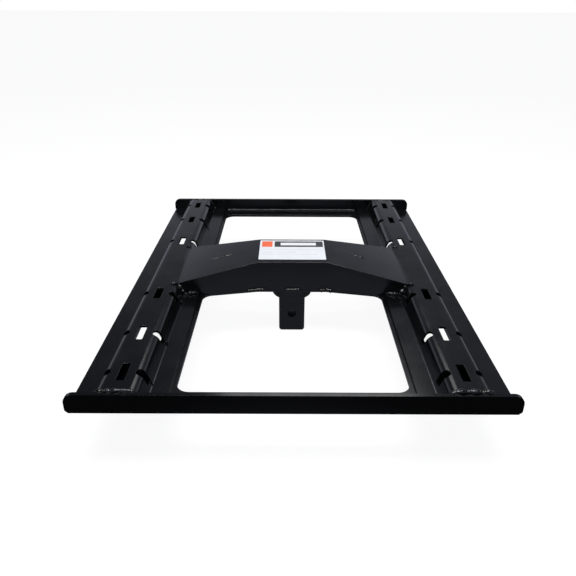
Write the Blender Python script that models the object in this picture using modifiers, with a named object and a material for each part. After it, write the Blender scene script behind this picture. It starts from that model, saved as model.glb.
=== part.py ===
"""Rail adapter frame for a fifth wheel hitch, with a square gooseneck shank, its draw bolt and washers.

Metres. +X is forward along the truck, +Y is left and runs along the rails, +Z is up.
The origin is at the frame's centre on the truck bed, level with the underside of the base plate.
"""

from math import atan, cos, hypot, pi, radians, sin, tan

import bmesh
import bpy
from mathutils import Matrix, Vector

GAP = 0.0003
PAST = 0.004  # how far a cutter or an untrimmed blank runs past the finished face

# Whole frame
LENGTH = 0.984
WIDTH = 0.719
RAIL_TOP = 0.040
RAIL_SPACING = 0.5588

# Base plate
PLATE_T = 0.00635
PLATE_LENGTH = 0.973
PLATE_CORNER_R = 0.003
OPENING_HALF_WIDTH = 0.196
OPENING_FAR_Y = 0.438
OPENING_CORNER_R = 0.023
CROSSBAR_LIP = 0.004
WINDOW_X = (0.2520, 0.3025)
WINDOW_Y = (0.165, 0.325)
WINDOW_CORNER_R = 0.010

# Hat rails: a flat top, round bends, side walls that lean out, and flanges
RAIL_T = 0.00476
RAIL_FLAT = 0.0205
RAIL_BEND_R = 0.016
RAIL_LEAN = 22
RAIL_TOE_R = 0.0045
RAIL_FLANGE = 0.0762
RAIL_BOTTOM = PLATE_T + GAP
RAIL_LEDGE = RAIL_BOTTOM + RAIL_T
BEND_Z = RAIL_TOP - RAIL_BEND_R
TOE_Z = RAIL_LEDGE + RAIL_TOE_R
SLOT_Y = (0.1459, 0.3043, 0.4286)
SLOT_WIDTH = 0.0142
SLOT_LENGTH = 0.048
SLOT_CORNER_R = 0.002
NOTCH_WIDTH = 0.018
NOTCH_START = 0.0205
NOTCH_END = 0.045
NOTCH_CLEARANCE = 0.004

# End bars
BAR_T = 0.0079
BAR_TOP_R = 0.0155
BAR_BOTTOM_R = 0.005
BAR_EDGE_R = 0.0011

# Bridge
BRIDGE_T = 0.00635
BRIDGE_RISE = 0.0352
BRIDGE_FLAT = 0.077
BRIDGE_END = 0.2460
BRIDGE_HALF_DEPTH = 0.067
BRIDGE_END_DEPTH = 0.101
WEB_INSET = 0.003
WEB_ACCESS = (0.096, 0.030)
WEB_ACCESS_Z = 0.050
WEB_ACCESS_R = 0.006
RIB_X = 0.055
CROWN = RAIL_TOP + BRIDGE_RISE

# Draw plate, bolt and washers
DRAW_PLATE_T = 0.0127
DRAW_PLATE_Z = 0.028
BOLT_R = 0.0093
BOLT_CLEARANCE_R = 0.0103
BOLT_HEAD_FLATS = 0.0286
BOLT_HEAD_T = 0.0121
BOLT_HEAD_CHAMFER = 30
BOLT_TIP_Z = -0.026
WASHER_R = 0.0187
WASHER_T = 0.0032
SPRING_WASHER_T = 0.0022
SPRING_WASHER_CONE = 0.0012

# Shank and its collar
SHANK_SIDE = 0.0603
SHANK_CORNER_R = 0.007
SHANK_TOP = 0.014
SHANK_BOTTOM = -0.1205
SHANK_END_R = 0.006
TAPPED_DEPTH = 0.056
PIN_HOLE_R = 0.00955
PIN_HOLE_Z = -0.0738
SHANK_CLEARANCE = 0.0006
COLLAR_R = 0.0452
COLLAR_DEPTH = 0.0290
COLLAR_EDGE_R = 0.0012

# Rating label
LABEL_SIZE = (0.1500, 0.1120)
LABEL_CENTRE_Y = 0.0035
LABEL_T = 0.0003

ARC_STEPS = 8
ROUND_STEPS = 40

COATING = ((0.022, 0.023, 0.025), 0.38, 0.0)
DARK_COATING = ((0.016, 0.017, 0.018), 0.32, 0.0)
ZINC = ((0.52, 0.52, 0.50), 0.35, 1.0)
VINYL = ((0.86, 0.87, 0.88), 0.45, 0.0)


# ---------------------------------------------------------------- helpers

def clear_scene():
    for obj in list(bpy.data.objects):
        bpy.data.objects.remove(obj, do_unlink=True)


def new_collection(name):
    collection = bpy.data.collections.new(name)
    bpy.context.scene.collection.children.link(collection)
    return collection


def coat(obj, look):
    colour, roughness, metallic = look
    material = bpy.data.materials.new(obj.name)
    material.use_nodes = True
    shader = material.node_tree.nodes["Principled BSDF"]
    shader.inputs["Base Color"].default_value = (*colour, 1.0)
    shader.inputs["Roughness"].default_value = roughness
    shader.inputs["Metallic"].default_value = metallic
    obj.data.materials.clear()
    obj.data.materials.append(material)


def add_part(name, mesh, look, sharp_angle=28):
    mesh.name = name
    mesh.shade_smooth()
    mesh.set_sharp_from_angle(angle=radians(sharp_angle))
    obj = bpy.data.objects.new(name, mesh)
    PARTS.objects.link(obj)
    coat(obj, look)
    return obj


def add_cutter(name, mesh):
    obj = bpy.data.objects.new(name, mesh)
    CUTTERS.objects.link(obj)
    obj.hide_render = True
    obj.display_type = "WIRE"
    return obj


def boolean(obj, cutter, operation="DIFFERENCE"):
    modifier = obj.modifiers.new(cutter.name, "BOOLEAN")
    modifier.object = cutter
    modifier.operation = operation
    modifier.solver = "EXACT"


def soften_edges(obj, width, segments=2):
    modifier = obj.modifiers.new("edges", "BEVEL")
    modifier.width = width
    modifier.segments = segments
    modifier.limit_method = "ANGLE"
    modifier.angle_limit = radians(50)


def round_corners(corners, steps=ARC_STEPS):
    """Points of a closed outline given as (x, y, radius) corners, with an arc at each one."""
    points = []
    for i, (x, y, radius) in enumerate(corners):
        here = Vector((x, y))
        before = (Vector(corners[i - 1][:2]) - here).normalized()
        after = (Vector(corners[(i + 1) % len(corners)][:2]) - here).normalized()
        if radius == 0:
            points.append(here)
            continue
        half = before.angle(after) / 2
        centre = here + (before + after).normalized() * radius / sin(half)
        start = here + before * radius / tan(half) - centre
        turn = before.angle(after) - pi
        if before.x * after.y - before.y * after.x > 0:
            turn = -turn
        for k in range(steps + 1):
            points.append(centre + Matrix.Rotation(-turn * k / steps, 2) @ start)
    return points


def rectangle(width, height, radius=0.0, centre=(0.0, 0.0), steps=ARC_STEPS):
    cx, cy = centre
    x, y = width / 2, height / 2
    corners = [(cx - x, cy - y), (cx + x, cy - y), (cx + x, cy + y), (cx - x, cy + y)]
    return round_corners([(u, v, radius) for u, v in corners], steps)


def circle(radius, steps=ROUND_STEPS):
    return arc((0.0, 0.0), radius, 0, 360, steps)[:-1]


def arc(centre, radius, start, end, steps=ARC_STEPS):
    points = []
    for k in range(steps + 1):
        angle = radians(start + (end - start) * k / steps)
        points.append(Vector((centre[0] + radius * cos(angle), centre[1] + radius * sin(angle))))
    return points


def mirrored(points, across):
    """The outline on the other side of the x = 0 line (across "x") or the y = 0 line (across "y")."""
    flip = Vector((-1, 1)) if across == "x" else Vector((1, -1))
    return [Vector((p.x * flip.x, p.y * flip.y)) for p in reversed(points)]


def sheet(outlines, low, high, plane="XY"):
    """A flat solid with the given outlines, the inner ones as holes, from low to high along its normal.

    In plane XZ the outline's second coordinate is Z, and the solid lies between y = low and y = high.
    """
    curve = bpy.data.curves.new("outline", "CURVE")
    curve.dimensions = "2D"
    curve.fill_mode = "BOTH"
    curve.extrude = (high - low) / 2
    for points in outlines:
        spline = curve.splines.new("POLY")
        spline.points.add(len(points) - 1)
        spline.use_cyclic_u = True
        for target, point in zip(spline.points, points):
            target.co = (point[0], point[1], 0.0, 1.0)
    holder = bpy.data.objects.new("outline", curve)
    bpy.context.scene.collection.objects.link(holder)
    graph = bpy.context.evaluated_depsgraph_get()
    mesh = bpy.data.meshes.new_from_object(holder.evaluated_get(graph))
    bpy.data.objects.remove(holder, do_unlink=True)
    bpy.data.curves.remove(curve)
    weld(mesh)
    middle = (low + high) / 2
    if plane == "XZ":
        place = Matrix.Translation((0, middle, 0)) @ Matrix.Rotation(pi / 2, 4, "X")
    else:
        place = Matrix.Translation((0, 0, middle))
    mesh.transform(place)
    return mesh


def weld(mesh):
    work = bmesh.new()
    work.from_mesh(mesh)
    bmesh.ops.remove_doubles(work, verts=work.verts, dist=1e-6)
    bmesh.ops.recalc_face_normals(work, faces=work.faces)
    work.to_mesh(mesh)
    work.free()


def block(low, high):
    size = Vector(high) - Vector(low)
    centre = (Vector(high) + Vector(low)) / 2
    work = bmesh.new()
    bmesh.ops.create_cube(work, size=1.0)
    bmesh.ops.scale(work, vec=size, verts=work.verts)
    bmesh.ops.translate(work, vec=centre, verts=work.verts)
    mesh = bpy.data.meshes.new("block")
    work.to_mesh(mesh)
    work.free()
    return mesh


def rod(radius, low, high, axis="Z", segments=24, centre=(0.0, 0.0, 0.0), end_radius=None):
    """A round or tapered bar along an axis, between two places on it."""
    work = bmesh.new()
    bmesh.ops.create_cone(
        work, cap_ends=True, segments=segments, radius1=radius, radius2=end_radius or radius, depth=high - low
    )
    mesh = bpy.data.meshes.new("rod")
    work.to_mesh(mesh)
    work.free()
    turn = Matrix.Rotation(pi / 2, 4, "X") if axis == "Y" else Matrix.Identity(4)
    along = Vector((0, (low + high) / 2, 0)) if axis == "Y" else Vector((0, 0, (low + high) / 2))
    mesh.transform(Matrix.Translation(Vector(centre) + along) @ turn)
    return mesh


def turned(name, profile, look, steps=ROUND_STEPS):
    """A solid turned about Z from a closed profile of (radius, z) points that runs down its outer side."""
    mesh = bpy.data.meshes.new(name)
    count = len(profile)
    mesh.from_pydata([(r, 0, z) for r, z in profile], [(k, (k + 1) % count) for k in range(count)], [])
    obj = add_part(name, mesh, look)
    screw = obj.modifiers.new("turn", "SCREW")
    screw.steps = steps
    screw.render_steps = steps
    screw.use_merge_vertices = True
    screw.merge_threshold = 0.0001
    screw.use_smooth_shade = True
    return obj


# ---------------------------------------------------------------- base plate

def bridge_depth(x):
    """Half the bridge's depth along Y at a distance x from the middle."""
    if x <= BRIDGE_FLAT:
        return BRIDGE_HALF_DEPTH
    slope = (BRIDGE_END_DEPTH - BRIDGE_HALF_DEPTH) / (BRIDGE_END - BRIDGE_FLAT)
    return BRIDGE_HALF_DEPTH + slope * (x - BRIDGE_FLAT)


def make_base_plate():
    outer = rectangle(WIDTH, PLATE_LENGTH, PLATE_CORNER_R)
    half = OPENING_HALF_WIDTH
    inner_y = bridge_depth(BRIDGE_FLAT) - CROSSBAR_LIP
    corner_y = bridge_depth(half) - CROSSBAR_LIP
    opening = round_corners([
        (-half, corner_y, OPENING_CORNER_R),
        (-BRIDGE_FLAT, inner_y, 0),
        (BRIDGE_FLAT, inner_y, 0),
        (half, corner_y, OPENING_CORNER_R),
        (half, OPENING_FAR_Y, OPENING_CORNER_R),
        (-half, OPENING_FAR_Y, OPENING_CORNER_R),
    ])
    holes = [opening, mirrored(opening, "y"), shank_outline(SHANK_CLEARANCE)]
    for side in (-1, 1):
        for end in (-1, 1):
            centre = (side * sum(WINDOW_X) / 2, end * sum(WINDOW_Y) / 2)
            size = (WINDOW_X[1] - WINDOW_X[0], WINDOW_Y[1] - WINDOW_Y[0])
            holes.append(rectangle(*size, WINDOW_CORNER_R, centre))
    add_part("base_plate", sheet([outer, *holes], 0.0, PLATE_T), COATING)


# ---------------------------------------------------------------- rails

def rail_side(offset):
    """One side of a rail about x = 0, from the top's edge to the flange, at an offset outside the metal.

    The wall is the common tangent of the bend above and the toe below, which sets where the toe stands.
    """
    lean = radians(RAIL_LEAN)
    reach = RAIL_BEND_R + RAIL_TOE_R + sin(lean) * (BEND_Z - TOE_Z)
    toe_x = RAIL_FLAT + reach / cos(lean)
    bend = arc((RAIL_FLAT, BEND_Z), RAIL_BEND_R + offset, 90, RAIL_LEAN)
    toe = arc((toe_x, TOE_Z), RAIL_TOE_R - offset, 180 + RAIL_LEAN, 270)
    return bend + toe


def hat_outline():
    """The rail's cross-section about x = 0, from one flange tip to the other and back inside."""
    right = rail_side(0.0)
    right += [Vector((RAIL_FLANGE, RAIL_LEDGE)), Vector((RAIL_FLANGE, RAIL_BOTTOM))]
    right += reversed(rail_side(-RAIL_T))
    return right + mirrored(right, "x")


def make_rails():
    half_length = LENGTH / 2 - BAR_T - GAP
    slots = []
    notches = []
    for side in (-1, 1):
        for end in (-1, 1):
            for y in SLOT_Y:
                centre = (side * RAIL_SPACING / 2, end * y)
                slots.append(rectangle(SLOT_WIDTH, SLOT_LENGTH, SLOT_CORNER_R, centre, steps=2))
                notches.append(notch_outline(centre, 1))
                notches.append(notch_outline(centre, -1))
    above = RAIL_TOP + PAST
    slot_cutter = add_cutter("slot_cutter", sheet(slots, RAIL_TOP - 2 * RAIL_T, above))
    notch_cutter = add_cutter("notch_cutter", sheet(notches, RAIL_LEDGE + NOTCH_CLEARANCE, above))
    for name, side in (("front_rail", 1), ("rear_rail", -1)):
        mesh = sheet([hat_outline()], -half_length, half_length, "XZ")
        mesh.transform(Matrix.Translation((side * RAIL_SPACING / 2, 0, 0)))
        rail = add_part(name, mesh, COATING)
        boolean(rail, slot_cutter)
        boolean(rail, notch_cutter)


def notch_outline(centre, wall):
    """A round-ended cut across one upper corner of the rail, open to that wall's outer side."""
    radius = NOTCH_WIDTH / 2
    start = centre[0] + wall * (NOTCH_START + radius)
    end = centre[0] + wall * NOTCH_END
    first = 90 * wall
    tip = arc((start, centre[1]), radius, first, first + 180)
    return tip + [Vector((end, tip[-1].y)), Vector((end, tip[0].y))]


# ---------------------------------------------------------------- end bars

def make_end_bars():
    low = PLATE_T + GAP
    x = WIDTH / 2
    outline = round_corners([
        (-x, low, BAR_BOTTOM_R),
        (x, low, BAR_BOTTOM_R),
        (x, RAIL_TOP, BAR_TOP_R),
        (-x, RAIL_TOP, BAR_TOP_R),
    ])
    outer = LENGTH / 2
    for name, side in (("left_end_bar", 1), ("right_end_bar", -1)):
        span = sorted((side * outer, side * (outer - BAR_T)))
        bar = add_part(name, sheet([outline], *span, "XZ"), DARK_COATING)
        soften_edges(bar, BAR_EDGE_R)


# ---------------------------------------------------------------- bridge

def bridge_slope():
    return (BRIDGE_RISE - 2 * GAP) / (BRIDGE_END - BRIDGE_FLAT)


def bridge_underside(x):
    """Height of the top plate's sloping lower face at a distance x from the middle."""
    return CROWN - BRIDGE_T * hypot(1, bridge_slope()) - bridge_slope() * (x - BRIDGE_FLAT)


def bridge_profile(drop):
    """The top plate's lower face, or a line a drop below it, as (x, z) points from its end inwards."""
    end = RAIL_SPACING / 2 - RAIL_FLAT
    bend = BRIDGE_FLAT - BRIDGE_T * tan(atan(bridge_slope()) / 2)
    return [Vector((end, bridge_underside(end) - drop)), Vector((bend, CROWN - BRIDGE_T - drop))]


def make_rail_envelope():
    """A cutter for both rails' outer shape, one gap proud, that the bridge's pieces are scribed to."""
    side = rail_side(GAP)
    edge = RAIL_FLANGE + 2 * GAP
    right = side + [Vector((edge, side[-1].y)), Vector((edge, 0.0))]
    outline = right + mirrored(right, "x")
    both = []
    for x in (-RAIL_SPACING / 2, RAIL_SPACING / 2):
        both.append([Vector((p.x + x, p.y)) for p in outline])
    reach = BRIDGE_END_DEPTH + 2 * PAST
    return add_cutter("rail_envelope", sheet(both, -reach, reach, "XZ"))


def make_bridge_top_plate(envelope):
    """The bent top plate. Its ends finish level with the rail tops, over the rails' upper bends."""
    end = RAIL_SPACING / 2 - RAIL_FLAT
    level = RAIL_TOP + 2 * GAP
    right = [Vector((BRIDGE_FLAT, CROWN)), Vector((BRIDGE_END, level)), Vector((end, level))]
    right += bridge_profile(0.0)
    past = end + PAST
    plan = [(BRIDGE_FLAT, BRIDGE_HALF_DEPTH), (past, bridge_depth(past))]
    plan += [(x, -y) for x, y in reversed(plan)]
    plan = [Vector(p) for p in plan]
    reach = BRIDGE_END_DEPTH + 2 * PAST
    blank = sheet([right + mirrored(right, "x")], -reach, reach, "XZ")
    plate = add_part("bridge_top_plate", blank, COATING, 8)
    trim = add_cutter("bridge_plan", sheet([plan + mirrored(plan, "x")], 0.0, CROWN + PAST))
    boolean(plate, trim, "INTERSECT")
    boolean(plate, envelope)


def web_plan(end):
    """Plan of the left web: a ribbon that follows the top plate's edge, a little inside it."""
    spread = hypot(1, (BRIDGE_END_DEPTH - BRIDGE_HALF_DEPTH) / (BRIDGE_END - BRIDGE_FLAT))
    outer = [Vector((x, bridge_depth(x) - WEB_INSET)) for x in (end, BRIDGE_FLAT)]
    inner = [Vector((BRIDGE_FLAT, outer[1].y - BRIDGE_T)), Vector((end, outer[0].y - BRIDGE_T * spread))]
    return inner + outer + mirrored(inner + outer, "x")


def make_bridge_webs(envelope):
    """The two upright webs, bent to the top plate's plan, standing on the base plate and the rail flanges."""
    end = RAIL_SPACING / 2 - RAIL_FLAT
    right = [Vector((end, PLATE_T + GAP))] + bridge_profile(GAP)
    reach = BRIDGE_END_DEPTH + 2 * PAST
    face = add_cutter("web_face", sheet([right + mirrored(right, "x")], -reach, reach, "XZ"))
    access = rectangle(*WEB_ACCESS, WEB_ACCESS_R, (0.0, WEB_ACCESS_Z))
    access_cutter = add_cutter("web_access", sheet([access], BRIDGE_HALF_DEPTH / 2, reach, "XZ"))
    ribbon = web_plan(end + PAST)
    left_web = add_part("bridge_web_left", sheet([ribbon], 0.0, CROWN), COATING, 8)
    right_web = add_part("bridge_web_right", sheet([mirrored(ribbon, "y")], 0.0, CROWN), COATING, 8)
    for web in (left_web, right_web):
        boolean(web, face, "INTERSECT")
        boolean(web, envelope)
    boolean(left_web, access_cutter)


def make_ribs_and_draw_plate():
    depth = BRIDGE_HALF_DEPTH - WEB_INSET - BRIDGE_T - GAP
    top = CROWN - BRIDGE_T - GAP
    for name, side in (("bridge_rib_front", 1), ("bridge_rib_rear", -1)):
        x = side * RIB_X
        mesh = block((x - BRIDGE_T / 2, -depth, PLATE_T + GAP), (x + BRIDGE_T / 2, depth, top))
        add_part(name, mesh, COATING)
    half = RIB_X - BRIDGE_T / 2 - GAP
    outline = rectangle(2 * half, 2 * depth)
    mesh = sheet([outline, circle(BOLT_CLEARANCE_R, 24)], DRAW_PLATE_Z, DRAW_PLATE_Z + DRAW_PLATE_T)
    add_part("draw_plate", mesh, COATING)


# ---------------------------------------------------------------- shank and collar

def shank_outline(clearance=0.0):
    side = SHANK_SIDE + 2 * clearance
    return rectangle(side, side, SHANK_CORNER_R + clearance)


def make_collar():
    ring = sheet([circle(COLLAR_R), shank_outline(SHANK_CLEARANCE)], -COLLAR_DEPTH - GAP, -GAP)
    collar = add_part("shank_collar", ring, DARK_COATING)
    soften_edges(collar, COLLAR_EDGE_R, 1)


def make_shank():
    mesh = sheet([shank_outline()], SHANK_BOTTOM, SHANK_TOP)
    work = bmesh.new()
    work.from_mesh(mesh)
    low_edges = [e for e in work.edges if all(v.co.z < SHANK_BOTTOM + 1e-5 for v in e.verts)]
    rim = [e for e in low_edges if e.calc_face_angle() > 1.0]
    bmesh.ops.bevel(work, geom=rim, offset=SHANK_END_R, segments=3, profile=0.5, affect="EDGES")
    work.to_mesh(mesh)
    work.free()
    shank = add_part("square_shank", mesh, DARK_COATING)
    pin = rod(PIN_HOLE_R, -SHANK_SIDE, SHANK_SIDE, axis="Y", segments=28, centre=(0, 0, PIN_HOLE_Z))
    boolean(shank, add_cutter("pin_hole", pin))
    tapped = rod(BOLT_R + GAP, SHANK_TOP - TAPPED_DEPTH, SHANK_TOP + PAST)
    boolean(shank, add_cutter("tapped_hole", tapped))


# ---------------------------------------------------------------- bolt and washers

def make_washers():
    top = DRAW_PLATE_Z + DRAW_PLATE_T + GAP
    bore = BOLT_CLEARANCE_R
    cone = SPRING_WASHER_CONE
    thick = SPRING_WASHER_T
    turned("spring_washer", [
        (bore, top + cone + thick),
        (WASHER_R, top + thick),
        (WASHER_R, top),
        (bore, top + cone),
    ], ZINC)
    seat = top + cone + thick + GAP
    turned("flat_washer", [
        (bore, seat + WASHER_T),
        (WASHER_R, seat + WASHER_T),
        (WASHER_R, seat),
        (bore, seat),
    ], ZINC)
    return seat + WASHER_T + GAP


def make_draw_bolt(seat):
    """Hex head bolt: the head's corners are turned off, and a union joins it to its shaft."""
    top = seat + BOLT_HEAD_T
    across_corners = BOLT_HEAD_FLATS / cos(pi / 6) / 2
    bolt = add_part("draw_bolt", rod(across_corners, seat, top, segments=6), ZINC)
    foot = top - 2 * BOLT_HEAD_T
    wide = BOLT_HEAD_FLATS / 2 + (top - foot) / tan(radians(BOLT_HEAD_CHAMFER))
    cone = rod(wide, foot, top, segments=32, end_radius=BOLT_HEAD_FLATS / 2)
    boolean(bolt, add_cutter("head_chamfer", cone), "INTERSECT")
    shaft = rod(BOLT_R, BOLT_TIP_Z, seat + BOLT_HEAD_T / 2)
    boolean(bolt, add_cutter("bolt_shaft", shaft), "UNION")


# ---------------------------------------------------------------- label

def make_label():
    low = CROWN + GAP
    outline = rectangle(*LABEL_SIZE, 0.0015, (0.0, LABEL_CENTRE_Y), steps=2)
    add_part("rating_label", sheet([outline], low, low + LABEL_T), VINYL)


clear_scene()
PARTS = new_collection("fifth_wheel_hitch")
CUTTERS = new_collection("cutters")
make_base_plate()
make_rails()
make_end_bars()
rail_envelope = make_rail_envelope()
make_bridge_top_plate(rail_envelope)
make_bridge_webs(rail_envelope)
make_ribs_and_draw_plate()
make_collar()
make_shank()
make_draw_bolt(make_washers())
make_label()
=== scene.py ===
"""Looks for the fifth wheel hitch frame: coated plates with rounded edges, weld beads, zinc bolt and label.

Metres, in the frame's own axes: +X forward, +Y left along the rails, +Z up.
"""

from math import cos, pi, radians, sin, sqrt

import bmesh
import bpy
from mathutils import Matrix, Vector, noise
from mathutils.bvhtree import BVHTree


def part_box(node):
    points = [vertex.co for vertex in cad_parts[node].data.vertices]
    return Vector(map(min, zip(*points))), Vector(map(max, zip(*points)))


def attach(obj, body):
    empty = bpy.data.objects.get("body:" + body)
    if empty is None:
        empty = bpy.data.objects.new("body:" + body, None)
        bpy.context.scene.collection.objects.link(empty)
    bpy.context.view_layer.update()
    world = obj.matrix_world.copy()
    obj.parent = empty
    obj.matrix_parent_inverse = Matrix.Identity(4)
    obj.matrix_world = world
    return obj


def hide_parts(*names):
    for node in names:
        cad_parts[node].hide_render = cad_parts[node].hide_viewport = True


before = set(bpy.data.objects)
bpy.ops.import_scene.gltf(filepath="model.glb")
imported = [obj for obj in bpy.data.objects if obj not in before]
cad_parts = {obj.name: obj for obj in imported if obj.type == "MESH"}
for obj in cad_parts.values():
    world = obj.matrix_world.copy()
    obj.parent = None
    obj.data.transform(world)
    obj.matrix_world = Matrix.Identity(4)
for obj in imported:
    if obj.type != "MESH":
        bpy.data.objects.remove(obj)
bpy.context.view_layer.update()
SCENE = bpy.context.scene


# ---------------------------------------------------------------- places read from the frame

PLATE_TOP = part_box("base_plate")[1].z
RAIL_LOW, RAIL_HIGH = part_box("front_rail")
SHANK_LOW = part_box("square_shank")[0]
LABEL_LOW, LABEL_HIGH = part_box("rating_label")
COLLAR_LOW, COLLAR_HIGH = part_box("shank_collar")
DRAW_LOW, DRAW_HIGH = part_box("draw_plate")

# The rail's section
RAIL_X = (RAIL_LOW.x + RAIL_HIGH.x) / 2
RAIL_T = 0.00476
RAIL_FLAT = 0.0205
RAIL_BEND_R = 0.016
RAIL_LEAN = 22
RAIL_TOE_R = 0.0045
RAIL_LEDGE = RAIL_LOW.z + RAIL_T
RAIL_END_Y = RAIL_HIGH.y
FLANGE_INNER_X = RAIL_LOW.x
SLOT_Y = (0.1459, 0.3043, 0.4286)

# The bridge's plan and slope
BRIDGE_FLAT = 0.077
BRIDGE_END = 0.2460
BRIDGE_HALF_DEPTH = 0.067
BRIDGE_END_DEPTH = 0.101
BRIDGE_TIP_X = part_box("bridge_top_plate")[1].x
WEB_INSET = 0.003

FLOOR_Z = SHANK_LOW.z - 0.001
COOL = (0.93, 0.98, 1.15)


# ---------------------------------------------------------------- node helpers

class Nodes:
    """A material, with short calls that add its shader nodes."""

    def __init__(self, name):
        self.material = bpy.data.materials.new(name)
        self.material.use_nodes = True
        self.tree = self.material.node_tree
        self.shader = self.tree.nodes["Principled BSDF"]
        self.place = self.add("ShaderNodeTexCoord").outputs["Object"]

    def add(self, kind, **settings):
        node = self.tree.nodes.new(kind)
        for key, value in settings.items():
            setattr(node, key, value)
        return node

    def put(self, socket, value):
        if isinstance(value, bpy.types.NodeSocket):
            self.tree.links.new(value, socket)
        else:
            socket.default_value = value

    def math(self, operation, a, b=0.0, clamp=False):
        node = self.add("ShaderNodeMath", operation=operation, use_clamp=clamp)
        self.put(node.inputs[0], a)
        self.put(node.inputs[1], b)
        return node.outputs[0]

    def mapping(self, source, scale, rotation=(0, 0, 0)):
        node = self.add("ShaderNodeMapping")
        node.inputs["Scale"].default_value = scale
        node.inputs["Rotation"].default_value = rotation
        self.put(node.inputs["Vector"], source)
        return node.outputs["Vector"]

    def noise(self, scale, detail=2.0, roughness=0.5, stretch=None):
        node = self.add("ShaderNodeTexNoise")
        node.inputs["Scale"].default_value = scale
        node.inputs["Detail"].default_value = detail
        node.inputs["Roughness"].default_value = roughness
        source = self.place if stretch is None else self.mapping(self.place, stretch)
        self.put(node.inputs["Vector"], source)
        return node.outputs["Fac"]

    def ramp(self, value, low, high, out_low=0.0, out_high=1.0):
        node = self.add("ShaderNodeMapRange", interpolation_type="SMOOTHSTEP")
        self.put(node.inputs["Value"], value)
        ends = {"From Min": low, "From Max": high, "To Min": out_low, "To Max": out_high}
        for name, number in ends.items():
            node.inputs[name].default_value = number
        return node.outputs["Result"]

    def mix(self, factor, a, b):
        node = self.add("ShaderNodeMix", data_type="RGBA")
        self.put(node.inputs["Factor"], factor)
        self.put(node.inputs[6], a)
        self.put(node.inputs[7], b)
        return node.outputs[2]

    def bump(self, height, distance, strength=1.0, normal=None):
        node = self.add("ShaderNodeBump")
        node.inputs["Strength"].default_value = strength
        node.inputs["Distance"].default_value = distance
        self.put(node.inputs["Height"], height)
        if normal is not None:
            self.put(node.inputs["Normal"], normal)
        return node.outputs["Normal"]

    def scratches(self, scale, angle, width=0.035):
        """Thin, broken, nearly parallel lines, as a mask."""
        node = self.add("ShaderNodeTexNoise")
        node.inputs["Scale"].default_value = 1.0
        node.inputs["Detail"].default_value = 3.0
        turned = self.mapping(self.place, (scale, scale * 0.06, scale), (0, 0, radians(angle)))
        self.put(node.inputs["Vector"], turned)
        ridge = self.math("ABSOLUTE", self.math("SUBTRACT", node.outputs["Fac"], 0.5))
        thin = self.ramp(ridge, 0.0, width, 1.0, 0.0)
        broken = self.ramp(self.noise(9.0), 0.56, 0.70)
        return self.math("MULTIPLY", thin, broken)

    def inside(self, value, low, high, soft=0.0003):
        """A mask that is 1 where the value lies between low and high."""
        rise = self.ramp(value, low - soft, low + soft)
        fall = self.ramp(value, high - soft, high + soft, 1.0, 0.0)
        return self.math("MULTIPLY", rise, fall)

    def patch(self, axes, low, high):
        """A mask for a rectangle on the label's face, from corner low to corner high."""
        across = self.inside(axes[0], low[0], high[0])
        along = self.inside(axes[1], low[1], high[1])
        return self.math("MULTIPLY", across, along)


DUST_GREY = (0.10, 0.10, 0.10, 1.0)
RUB_GREY = (0.07, 0.07, 0.07, 1.0)
ZINC_DULL = (0.42, 0.41, 0.37, 1.0)
ZINC_BRIGHT = (0.63, 0.62, 0.58, 1.0)
LABEL_WHITE = (0.75, 0.77, 0.80, 1.0)
LABEL_SHADED = (0.70, 0.72, 0.75, 1.0)
LABEL_DARK = (0.030, 0.031, 0.034, 1.0)
LABEL_ORANGE = (0.80, 0.135, 0.045, 1.0)
LABEL_RULE_GREY = (0.36, 0.37, 0.40, 1.0)


def powder_coat(name, colour, roughness, dust=1.0):
    """Black powder coat: orange peel, uneven gloss, a little dust and a few fine rub marks."""
    n = Nodes(name)
    broad = n.math("MULTIPLY", n.noise(6.0, 4.0, 0.6), 0.6)
    fine = n.math("MULTIPLY", n.noise(55.0), 0.4)
    shade = n.math("ADD", broad, fine)
    deep = (*[c * 0.75 for c in colour], 1.0)
    pale = (*[c * 1.30 for c in colour], 1.0)
    base = n.mix(n.ramp(shade, 0.30, 0.70), deep, pale)
    specks = n.ramp(n.noise(900.0, 1.0), 0.74, 0.80)
    where = n.ramp(n.noise(14.0, 3.0), 0.50, 0.72)
    speckled = n.math("MULTIPLY", n.math("MULTIPLY", specks, where), 0.03 * dust)
    base = n.mix(speckled, base, DUST_GREY)
    rubbed = n.scratches(420.0, 17.0)
    base = n.mix(n.math("MULTIPLY", rubbed, 0.015 * dust), base, RUB_GREY)
    n.put(n.shader.inputs["Base Color"], base)
    gloss = n.ramp(n.noise(18.0, 4.0, 0.6), 0.30, 0.72, roughness - 0.035, roughness + 0.04)
    gloss = n.math("ADD", gloss, n.math("MULTIPLY", rubbed, 0.05 * dust))
    gloss = n.math("ADD", gloss, n.math("MULTIPLY", n.noise(600.0), 0.02), clamp=True)
    n.put(n.shader.inputs["Roughness"], gloss)
    normal = n.bump(n.noise(520.0, 2.0, 0.45), 0.00003, 0.5)
    normal = n.bump(n.noise(1900.0, 1.0), 0.000008, 0.5, normal)
    normal = n.bump(n.noise(9.0, 2.0), 0.0005, 0.35, normal)
    normal = n.bump(rubbed, 0.000015, 0.5, normal)
    n.put(n.shader.inputs["Normal"], normal)
    return n.material


def zinc_plate(name):
    """Bright zinc: mottled and lightly brushed, with a few dull patches."""
    n = Nodes(name)
    mottle = n.ramp(n.noise(140.0, 4.0, 0.6), 0.35, 0.65)
    n.put(n.shader.inputs["Base Color"], n.mix(mottle, ZINC_DULL, ZINC_BRIGHT))
    n.shader.inputs["Metallic"].default_value = 1.0
    n.put(n.shader.inputs["Roughness"], n.ramp(n.noise(70.0, 3.0), 0.3, 0.7, 0.24, 0.46))
    grain = n.noise(1.0, 2.0, stretch=(300.0, 300.0, 3000.0))
    n.put(n.shader.inputs["Normal"], n.bump(grain, 0.00002, 0.6))
    return n.material


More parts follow.
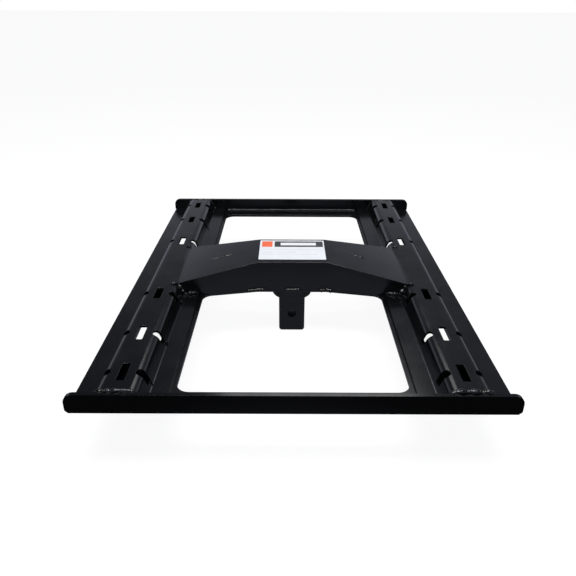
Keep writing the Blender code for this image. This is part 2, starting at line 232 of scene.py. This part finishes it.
def printed_vinyl(name):
    """A satin label with plain printed blocks and rules, and no lettering."""
    n = Nodes(name)
    split = n.add("ShaderNodeSeparateXYZ")
    n.put(split.inputs[0], n.place)
    axes = split.outputs
    base = n.mix(n.ramp(n.noise(30.0, 4.0), 0.3, 0.7), LABEL_WHITE, LABEL_SHADED)
    left, right = LABEL_LOW.x + 0.0046, LABEL_HIGH.x - 0.003
    far = LABEL_HIGH.y - 0.006
    block_end = left + 0.0245
    band_low = far - 0.034
    rule_width = 0.0022
    dark = n.patch(axes, (block_end + 0.005, band_low), (right, far))
    base = n.mix(dark, base, LABEL_DARK)
    bar = n.patch(axes, (block_end + 0.019, band_low + 0.0095), (right - 0.016, far - 0.0085))
    base = n.mix(bar, base, LABEL_WHITE)
    orange = n.patch(axes, (left, band_low), (block_end, far))
    base = n.mix(orange, base, LABEL_ORANGE)
    for drop, end in ((0.0135, right - 0.006), (0.031, right - 0.062), (0.043, right - 0.016)):
        rule = n.patch(axes, (left, band_low - drop - rule_width), (end, band_low - drop))
        base = n.mix(n.math("MULTIPLY", rule, 0.45), base, LABEL_RULE_GREY)
    n.put(n.shader.inputs["Base Color"], base)
    n.put(n.shader.inputs["Roughness"], n.ramp(n.noise(90.0, 3.0), 0.3, 0.7, 0.36, 0.50))
    n.put(n.shader.inputs["Normal"], n.bump(n.noise(260.0, 3.0), 0.00004, 0.4))
    return n.material


COATING = powder_coat("black_powder_coat", (0.0019, 0.0021, 0.0025), 0.18)
GLOSS_COATING = powder_coat("gloss_black_powder_coat", (0.0010, 0.0011, 0.0013), 0.14, dust=0.6)
WELD_COATING = powder_coat("coated_weld", (0.0020, 0.0022, 0.0026), 0.11, dust=0.3)
ZINC = zinc_plate("zinc_plating")


# ---------------------------------------------------------------- carried-over plates with rounded edges

SHARP = radians(34)
SAME_PLACE = 1e-5
SLIVER = 0.00025
SHEET_EDGE = 0.0006
BENT_EDGE = 0.0003
TURNED_EDGE = 0.0004
SHANK_EDGE = 0.0005
WASHER_EDGE = 0.0003
# Further than this from the middle the bridge meets the rails, and its edges stay as in the solid
BRIDGE_ROUNDED_TO = 0.200


def add_piece(name, mesh, material, body):
    """A new visible piece with one material, riding on a body."""
    mesh.materials.clear()
    mesh.materials.append(material)
    piece = bpy.data.objects.new(name, mesh)
    SCENE.collection.objects.link(piece)
    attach(piece, body)
    return piece


def rounded(node, body, material, edge, merge=SLIVER, keep=lambda place: True):
    """A copy of a CAD node with its outer edges rounded where keep allows it, which stands for the node."""
    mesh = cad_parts[node].data.copy()
    mesh.name = node + "_finished"
    work = bmesh.new()
    work.from_mesh(mesh)
    bmesh.ops.remove_doubles(work, verts=work.verts, dist=2e-6)
    bmesh.ops.dissolve_limit(work, angle_limit=radians(0.4), verts=work.verts, edges=work.edges)
    bmesh.ops.remove_doubles(work, verts=work.verts, dist=merge)
    edges = []
    for e in work.edges:
        middle = (e.verts[0].co + e.verts[1].co) / 2
        if len(e.link_faces) == 2 and e.is_convex and e.calc_face_angle() > SHARP and keep(middle):
            edges.append(e)
    bmesh.ops.bevel(work, geom=edges, offset=edge, segments=2, profile=0.5, affect="EDGES")
    bmesh.ops.remove_doubles(work, verts=work.verts, dist=SAME_PLACE)
    work.to_mesh(mesh)
    work.free()
    mesh.shade_smooth()
    mesh.set_sharp_from_angle(angle=SHARP)
    piece = add_piece(node + "_finished", mesh, material, body)
    weights = piece.modifiers.new("weights", "WEIGHTED_NORMAL")
    weights.keep_sharp = True
    weights.weight = 100
    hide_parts(node)


def clear_of_rails(place):
    return abs(place.x) < BRIDGE_ROUNDED_TO


def finish_nodes():
    """Better edges and coats on the CAD nodes. The end bars' edges are round in the solid, so they stay."""
    for node in ("base_plate", "front_rail", "rear_rail"):
        rounded(node, "frame", COATING, SHEET_EDGE)
    bridge_edges = {
        "bridge_top_plate": BENT_EDGE,
        "bridge_web_left": SHEET_EDGE,
        "bridge_web_right": SHEET_EDGE,
    }
    for node, edge in bridge_edges.items():
        rounded(node, "frame", COATING, edge, SAME_PLACE, clear_of_rails)
    for node in ("bridge_rib_front", "bridge_rib_rear", "draw_plate"):
        rounded(node, "frame", COATING, SHEET_EDGE)
    for node in ("left_end_bar", "right_end_bar"):
        rounded(node, "frame", GLOSS_COATING, TURNED_EDGE, SAME_PLACE, lambda place: False)
    rounded("shank_collar", "frame", GLOSS_COATING, TURNED_EDGE, SAME_PLACE)
    rounded("square_shank", "shank", COATING, SHANK_EDGE, SAME_PLACE)
    for node in ("flat_washer", "spring_washer"):
        rounded(node, "frame", ZINC, WASHER_EDGE, SAME_PLACE)
    rounded("draw_bolt", "draw_bolt", ZINC, TURNED_EDGE, SAME_PLACE)
    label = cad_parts["rating_label"]
    label.data.materials.clear()
    label.data.materials.append(printed_vinyl("printed_label"))


# ---------------------------------------------------------------- weld beads

RIPPLE = 0.0024
BEAD_STEP = 0.0006
BEAD_SIDES = 12
BEAD_LIFT = 0.0004

# Bead radii
END_BAR_R = 0.0030
STITCH_R = 0.0040
WEB_END_R = 0.0056
RIGHT_TACK_R = 0.0036
LEFT_TACK_R = 0.0024
SLOPE_MARK_R = 0.0030
TOE_TACK_R = 0.0034
COLLAR_WELD_R = 0.0026
DRAW_PLATE_WELD_R = 0.0022

# Where the stitches under each web start and end along X
STITCHES = ((-0.100, -0.057), (-0.017, 0.019), (0.060, 0.091))
# The ends of each slope's mark, as (x, y)
SLOPE_MARKS = {"rear": ((-0.186, 0.001), (-0.134, 0.006)), "front": ((0.136, 0.008), (0.166, 0.000))}
SLOPE_MARK_SINK = 0.0019


def resampled(path, step):
    """Evenly spaced points on a path of straight runs, each with its distance along it, and its length."""
    points = []
    lengths = [(b - a).length for a, b in zip(path, path[1:])]
    total = sum(lengths)
    count = max(8, round(total / step))
    run = 0
    passed = 0.0
    for k in range(count + 1):
        at = total * k / count
        while run < len(lengths) - 1 and passed + lengths[run] < at:
            passed += lengths[run]
            run += 1
        along = (at - passed) / lengths[run]
        points.append((path[run].lerp(path[run + 1], along), at))
    return points, total


def bead(name, path, radius, seed):
    """A lumpy, rippled weld bead along a path, with rounded ends."""
    points, total = resampled(path, BEAD_STEP)
    work = bmesh.new()
    rings = []
    for k, (place, at) in enumerate(points):
        before = points[max(0, k - 3)][0]
        after = points[min(len(points) - 1, k + 3)][0]
        along = (after - before).normalized()
        level = Vector((0, 1, 0)) if abs(along.y) < 0.7 else Vector((0, 0, 1))
        side = along.cross(level).normalized()
        other = side.cross(along)
        to_end = min(at, total - at) / (1.5 * radius)
        end = sqrt(max(0.0, 1 - (1 - min(1.0, to_end)) ** 2))
        lump = 0.55 * noise.noise(Vector((at * 130, seed, 0)))
        lump += 0.16 * noise.noise(Vector((at * 330, seed, 5)))
        wave = 0.08 * abs(sin(pi * at / RIPPLE))
        wander = 0.5 * radius * noise.noise(Vector((at * 90, seed, 9)))
        size = radius * max(0.05, end) * (1 + lump + wave)
        ring = []
        for m in range(BEAD_SIDES):
            angle = 2 * pi * m / BEAD_SIDES
            reach = size * (1 + 0.18 * noise.noise(Vector((at * 260, seed, 20 + cos(angle)))))
            centre = place + side * wander
            ring.append(work.verts.new(centre + side * reach * cos(angle) + other * reach * sin(angle)))
        rings.append(ring)
    for low, high in zip(rings, rings[1:]):
        for m in range(BEAD_SIDES):
            after = (m + 1) % BEAD_SIDES
            work.faces.new((low[m], low[after], high[after], high[m]))
    work.faces.new(rings[0])
    work.faces.new(rings[-1])
    bmesh.ops.recalc_face_normals(work, faces=work.faces)
    mesh = bpy.data.meshes.new(name)
    work.to_mesh(mesh)
    work.free()
    mesh.shade_smooth()
    add_piece(name, mesh, WELD_COATING, "frame")


def bridge_depth(x):
    """Half the bridge's depth along Y at a distance x from the middle."""
    slope = (BRIDGE_END_DEPTH - BRIDGE_HALF_DEPTH) / (BRIDGE_END - BRIDGE_FLAT)
    return BRIDGE_HALF_DEPTH + slope * max(0.0, x - BRIDGE_FLAT)


def arc(centre, radius, start, end, steps=8):
    """Points on an arc, from the start angle to the end angle in degrees."""
    points = []
    for k in range(steps + 1):
        angle = radians(start + (end - start) * k / steps)
        points.append((centre[0] + radius * cos(angle), centre[1] + radius * sin(angle)))
    return points


def rail_side():
    """One side of a rail's outer section about its middle, from the top's edge down to the toe, as (x, z)."""
    lean = radians(RAIL_LEAN)
    bend_z = RAIL_HIGH.z - RAIL_BEND_R
    toe_z = RAIL_LEDGE + RAIL_TOE_R
    toe_x = RAIL_FLAT + (RAIL_BEND_R + RAIL_TOE_R + sin(lean) * (bend_z - toe_z)) / cos(lean)
    bend = arc((RAIL_FLAT, bend_z), RAIL_BEND_R, 90, RAIL_LEAN)
    return bend + arc((toe_x, toe_z), RAIL_TOE_R, 180 + RAIL_LEAN, 270)


def weld_rail_ends():
    """A bead over each rail's end, where it meets the end bar, from toe to toe.

    The two at the right end lie a little further in, and the front one of them is the heaviest.
    """
    right = rail_side()
    section = [(-x, z) for x, z in reversed(right)] + right
    for end, side, radius, inset, lift in (
        (1, 1, 0.0027, 0.0, -0.0011),
        (1, -1, 0.0027, 0.0, -0.0011),
        (-1, 1, 0.0044, 0.0026, 0.0012),
        (-1, -1, 0.0032, 0.0030, 0.0004),
    ):
        name = ("front" if side > 0 else "rear") + ("_left" if end > 0 else "_right")
        y = end * (RAIL_END_Y - inset)
        path = [Vector((side * (RAIL_X + x), y, z + lift)) for x, z in section]
        bead("rail_end_weld_" + name, path, radius, 3.1 * end + 1.7 * side)


def weld_end_bars():
    """A bead along the foot of each end bar, on the base plate between the rails."""
    for end, name in ((1, "left"), (-1, "right")):
        reach = FLANGE_INNER_X - 0.004
        path = [Vector((x, end * RAIL_END_Y, PLATE_TOP + BEAD_LIFT)) for x in (-reach, reach)]
        bead(f"end_bar_weld_{name}", path, END_BAR_R, 11.0 + end)


def weld_bridge():
    """Stitches under the webs, beads where the webs run up onto the rails, and a tack at each corner."""
    for end, name in ((1, "left"), (-1, "right")):
        for k, (low, high) in enumerate(STITCHES):
            xs = [low, *[x for x in (-BRIDGE_FLAT, BRIDGE_FLAT) if low < x < high], high]
            path = []
            for x in xs:
                y = end * (bridge_depth(abs(x)) - WEB_INSET + 0.0010)
                path.append(Vector((x, y, PLATE_TOP + BEAD_LIFT)))
            bead(f"web_stitch_{name}_{k + 1}", path, STITCH_R, 20.0 + 3 * k + end)
        for side, side_name in ((1, "front"), (-1, "rear")):
            climb = [(FLANGE_INNER_X + 0.002, RAIL_LEDGE)]
            climb += [(RAIL_X - x, z) for x, z in reversed(rail_side())]
            path = []
            for x, z in climb:
                if x < RAIL_X - RAIL_FLAT - RAIL_BEND_R + 0.006:
                    y = end * (bridge_depth(x) - WEB_INSET + 0.0014)
                    path.append(Vector((side * x, y, z + 0.0010)))
            bead(f"web_end_weld_{side_name}_{name}", path, WEB_END_R, 40.0 + 2 * side + end)
            tack = []
            for x in (BRIDGE_TIP_X - 0.009, BRIDGE_TIP_X + 0.0035):
                tack.append(Vector((side * x, end * (bridge_depth(x) + 0.0008), RAIL_HIGH.z + 0.0012)))
            radius = RIGHT_TACK_R if end < 0 else LEFT_TACK_R
            bead(f"corner_tack_{side_name}_{name}", tack, radius, 50.0 + 2 * side + end)


def weld_slopes():
    """Low, broken marks on the bridge's slopes, where the inside welds show through."""
    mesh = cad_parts["bridge_top_plate"].data
    plate = BVHTree.FromPolygons([v.co for v in mesh.vertices], [tuple(p.vertices) for p in mesh.polygons])
    for name, ends in SLOPE_MARKS.items():
        path = []
        for x, y in ends:
            top = plate.ray_cast(Vector((x, y, 1.0)), Vector((0, 0, -1)))[0]
            path.append(top - Vector((0, 0, SLOPE_MARK_SINK)))
        bead(f"slope_mark_{name}", path, SLOPE_MARK_R, 81.0 + ends[0][0])


def weld_rail_toe():
    """A small tack beside each inner notch, at the foot of the rear rail."""
    foot = RAIL_X - rail_side()[-1][0] + 0.0020
    for k, slot_y in enumerate(SLOT_Y):
        for end, name in ((1, "left"), (-1, "right")):
            y = end * slot_y + 0.006
            path = [Vector((-foot + s, y, RAIL_LEDGE + 0.0036)) for s in (-0.0020, 0.0024)]
            bead(f"toe_tack_{name}_{k + 1}", path, TOE_TACK_R, 90.0 + 2 * k + end)


def weld_collar():
    """A bead round the collar's top, under the base plate."""
    radius = (COLLAR_HIGH.x - COLLAR_LOW.x) / 2
    path = [Vector((x, y, COLLAR_HIGH.z - BEAD_LIFT)) for x, y in arc((0, 0), radius, 3, 357, 96)]
    bead("collar_weld", path, COLLAR_WELD_R, 61.0)


def weld_draw_plate():
    """Two beads along the draw plate's ends, inside the bridge."""
    for side, name in ((1, "front"), (-1, "rear")):
        x = side * (DRAW_HIGH.x + 0.0001)
        path = [Vector((x, y, DRAW_HIGH.z)) for y in (DRAW_LOW.y + 0.006, DRAW_HIGH.y - 0.006)]
        bead(f"draw_plate_weld_{name}", path, DRAW_PLATE_WELD_R, 70.0 + side)


# ---------------------------------------------------------------- camera, light and floor

LENS = 35.29
SENSOR = 36.0
CAMERA_PLACE = (-0.0101, -1.195, RAIL_HIGH.z + 0.541)
CAMERA_DOWN = 26.75
CAMERA_TURN = -0.044
CAMERA_ROLL = 0.24


def add_camera():
    """The camera looks along +Y and down at the frame."""
    data = bpy.data.cameras.new("camera")
    data.sensor_width = SENSOR
    data.lens = LENS
    data.clip_end = 200.0
    camera = bpy.data.objects.new("camera", data)
    camera.location = CAMERA_PLACE
    tilt = Matrix.Rotation(radians(90 - CAMERA_DOWN), 4, "X")
    turn = Matrix.Rotation(radians(CAMERA_TURN), 4, "Z")
    roll = Matrix.Rotation(radians(CAMERA_ROLL), 4, "Z")
    camera.rotation_euler = (turn @ tilt @ roll).to_euler()
    SCENE.collection.objects.link(camera)
    SCENE.camera = camera


def add_softbox(name, place, target, size, radiance):
    """A rectangular light of a given brightness."""
    data = bpy.data.lights.new(name, "AREA")
    data.shape = "RECTANGLE"
    data.size, data.size_y = size
    data.energy = radiance * pi * size[0] * size[1]
    light = bpy.data.objects.new(name, data)
    light.location = place
    light.rotation_euler = (Vector(target) - Vector(place)).to_track_quat("-Z", "Y").to_euler()
    SCENE.collection.objects.link(light)


def map_range(tree, value, source, target, smooth=False):
    """A value taken from one range to another, held at the ends."""
    node = tree.nodes.new("ShaderNodeMapRange")
    node.interpolation_type = "SMOOTHSTEP" if smooth else "LINEAR"
    for name, number in zip(("From Min", "From Max", "To Min", "To Max"), (*source, *target)):
        node.inputs[name].default_value = number
    tree.links.new(value, node.inputs["Value"])
    return node.outputs["Result"]


# The studio's brightness at each height above the horizon, in degrees
SKY_STOPS = ((0, 0.52), (14, 0.55), (19, 0.24), (24, 0.148), (33, 0.124))


def add_world():
    """A white studio, dim overhead and bright at the horizon. High up it is brighter towards +X."""
    world = bpy.data.worlds.new("studio")
    world.use_nodes = True
    tree = world.node_tree
    coords = tree.nodes.new("ShaderNodeTexCoord")
    split = tree.nodes.new("ShaderNodeSeparateXYZ")
    tree.links.new(coords.outputs["Generated"], split.inputs[0])
    ramp = tree.nodes.new("ShaderNodeValToRGB")
    while len(ramp.color_ramp.elements) < len(SKY_STOPS):
        ramp.color_ramp.elements.new(0.5)
    for element, (elevation, brightness) in zip(ramp.color_ramp.elements, SKY_STOPS):
        element.position = sin(radians(elevation))
        element.color = (*[brightness * c for c in COOL], 1.0)
    tree.links.new(split.outputs["Z"], ramp.inputs["Fac"])
    lean = map_range(tree, split.outputs["X"], (-0.5, 0.5), (-1.0, 1.0))
    reach = map_range(tree, split.outputs["Z"], (sin(radians(20)), sin(radians(32))), (-0.04, 0.44))
    strength = tree.nodes.new("ShaderNodeMath")
    strength.operation = "MULTIPLY_ADD"
    tree.links.new(lean, strength.inputs[0])
    tree.links.new(reach, strength.inputs[1])
    strength.inputs[2].default_value = 1.0
    mirrored = tree.nodes["Background"]
    tree.links.new(ramp.outputs["Color"], mirrored.inputs["Color"])
    tree.links.new(strength.outputs[0], mirrored.inputs["Strength"])
    seen = tree.nodes.new("ShaderNodeBackground")
    seen.inputs["Color"].default_value = (1.0, 1.0, 1.0, 1.0)
    path = tree.nodes.new("ShaderNodeLightPath")
    mix = tree.nodes.new("ShaderNodeMixShader")
    tree.links.new(path.outputs["Is Camera Ray"], mix.inputs["Fac"])
    tree.links.new(mirrored.outputs[0], mix.inputs[1])
    tree.links.new(seen.outputs[0], mix.inputs[2])
    tree.links.new(mix.outputs[0], tree.nodes["World Output"].inputs["Surface"])
    SCENE.world = world


def pool_of_light(tree):
    """A bright patch of floor under the near opening, fading to dim beyond the frame."""
    coords = tree.nodes.new("ShaderNodeTexCoord")
    shift = tree.nodes.new("ShaderNodeMapping")
    shift.inputs["Location"].default_value = (0.0, 0.25, 0.0)
    tree.links.new(coords.outputs["Object"], shift.inputs["Vector"])
    length = tree.nodes.new("ShaderNodeVectorMath")
    length.operation = "LENGTH"
    tree.links.new(shift.outputs["Vector"], length.inputs[0])
    return map_range(tree, length.outputs["Value"], (0.12, 0.52), (0.27, 0.02), smooth=True)


def glow_and_diffuse(tree, glow, albedo, tint=(1.0, 1.0, 1.0)):
    """A surface that gives off an even glow, or one read from a socket, on top of the light it scatters."""
    emission = tree.nodes.new("ShaderNodeEmission")
    emission.inputs["Color"].default_value = (*tint, 1.0)
    if isinstance(glow, bpy.types.NodeSocket):
        tree.links.new(glow, emission.inputs["Strength"])
    else:
        emission.inputs["Strength"].default_value = glow
    diffuse = tree.nodes.new("ShaderNodeBsdfDiffuse")
    diffuse.inputs["Color"].default_value = (albedo, albedo, albedo, 1.0)
    both = tree.nodes.new("ShaderNodeAddShader")
    tree.links.new(emission.outputs[0], both.inputs[0])
    tree.links.new(diffuse.outputs[0], both.inputs[1])
    return both.outputs[0]


def add_floor():
    """A plain white sweep: bright to the eye, and dim where the glossy coat mirrors it."""
    mesh = bpy.data.meshes.new("floor")
    reach = 60.0
    corners = [(-reach, -reach, 0), (reach, -reach, 0), (reach, reach, 0), (-reach, reach, 0)]
    mesh.from_pydata(corners, [], [(0, 1, 2, 3)])
    floor = bpy.data.objects.new("floor", mesh)
    floor.location.z = FLOOR_Z
    SCENE.collection.objects.link(floor)
    material = bpy.data.materials.new("pale_floor")
    material.use_nodes = True
    tree = material.node_tree
    tree.nodes.remove(tree.nodes["Principled BSDF"])
    path = tree.nodes.new("ShaderNodeLightPath")
    mix = tree.nodes.new("ShaderNodeMixShader")
    tree.links.new(path.outputs["Is Camera Ray"], mix.inputs["Fac"])
    tree.links.new(glow_and_diffuse(tree, pool_of_light(tree), 0.01, COOL), mix.inputs[1])
    tree.links.new(glow_and_diffuse(tree, 0.93, 0.12), mix.inputs[2])
    tree.links.new(mix.outputs[0], tree.nodes["Material Output"].inputs["Surface"])
    mesh.materials.append(material)


finish_nodes()
weld_rail_ends()
weld_end_bars()
weld_bridge()
weld_slopes()
weld_rail_toe()
weld_collar()
weld_draw_plate()
add_camera()
add_world()
add_softbox("back_softbox", (0.22, 2.2, 2.35), (0.0, -0.3, 0.0), (1.5, 0.60), 2.4)
add_softbox("overhead_strip", (0.0, 0.2, 2.4), (0.0, 0.0, 0.0), (1.2, 0.25), 14.0)
add_softbox("front_softbox", (-0.1, -1.0, 2.6), (0.0, 0.0, 0.0), (1.8, 0.9), 14.0)
add_floor()
SCENE.view_settings.view_transform = "Standard"
